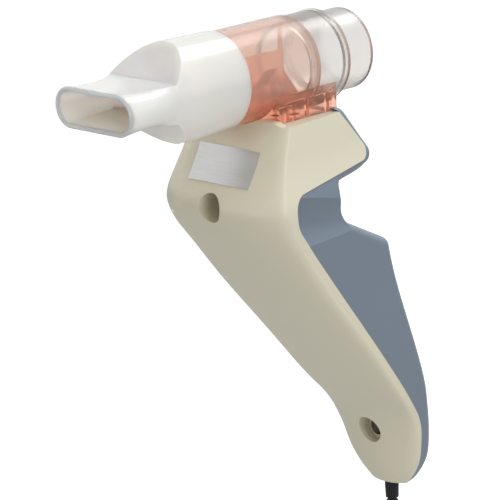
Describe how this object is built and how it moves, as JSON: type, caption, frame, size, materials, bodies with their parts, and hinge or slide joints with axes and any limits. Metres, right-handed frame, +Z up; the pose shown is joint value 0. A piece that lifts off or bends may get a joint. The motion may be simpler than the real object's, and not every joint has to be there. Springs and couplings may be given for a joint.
{
  "type": "spirometer",
  "caption": "Hand-held spirometer: oval push-on mouthpiece, clear breathing tube on a sloping two-shell grip, cable with a flat plug from the foot.",
  "frame": {"origin": "middle of the grip, between its front and back, where a hand closes round it", "axes": "+Z up with the breathing tube level, +Y from the mouthpiece to the outlet, +X completes the right-handed set; the part is symmetric about X = 0"},
  "size_m": [0.0572, 0.1366, 0.3257],
  "materials": {
    "mouthpiece": "smooth glossy white",
    "pink_plastic": "clear pink-orange, glossy",
    "clear_plastic": "clear, glossy",
    "cream_plastic": "fine satin",
    "blue_plastic": "fine satin",
    "foil": "brushed foil",
    "steel": "plain zinc",
    "black_plastic": "satin black",
    "rubber": "satin black",
    "silicone": "milky",
    "board": "satin green solder mask",
    "white_plastic": "satin",
    "can": "bright",
    "nickel": "bright nickel"
  },
  "bodies": {
    "handle": {"front_shell": "cream_plastic", "rear_shell": "blue_plastic", "type_label": "foil", "shell_screws": "steel", "port_manifold": "white_plastic", "port_seals": "rubber", "manifold_screws": "steel", "sensing_hoses": "silicone", "main_board": "board", "board_screws": "steel", "pressure_sensor": "black_plastic", "microcontroller": "black_plastic", "usb_bridge": "black_plastic", "ambient_sensor": "can", "crystal": "can", "capacitors": "can", "cable_connector": "white_plastic", "inner_cable": "rubber", "strain_relief": "rubber", "usb_cable": "rubber", "usb_cable_hank": "rubber", "usb_cable_tail": "rubber", "cable_tie": "black_plastic", "plug_overmould": "black_plastic", "plug_shell": "nickel", "plug_tongue": "white_plastic"},
    "flow_tube": {"flow_tube_front": "pink_plastic", "flow_tube_rear": "clear_plastic", "pressure_probe": "pink_plastic"},
    "mouthpiece": {"mouthpiece": "mouthpiece"}
  },
  "joints": [
    {"name": "tube_lift", "type": "slide", "parent": "handle", "child": "flow_tube", "axis": [0, 0, 1], "range_m": [0, 0.03]},
    {"name": "mouthpiece_pull", "type": "slide", "parent": "flow_tube", "child": "mouthpiece", "axis": [0, -1, 0], "range_m": [0, 0.035]}
  ]
}
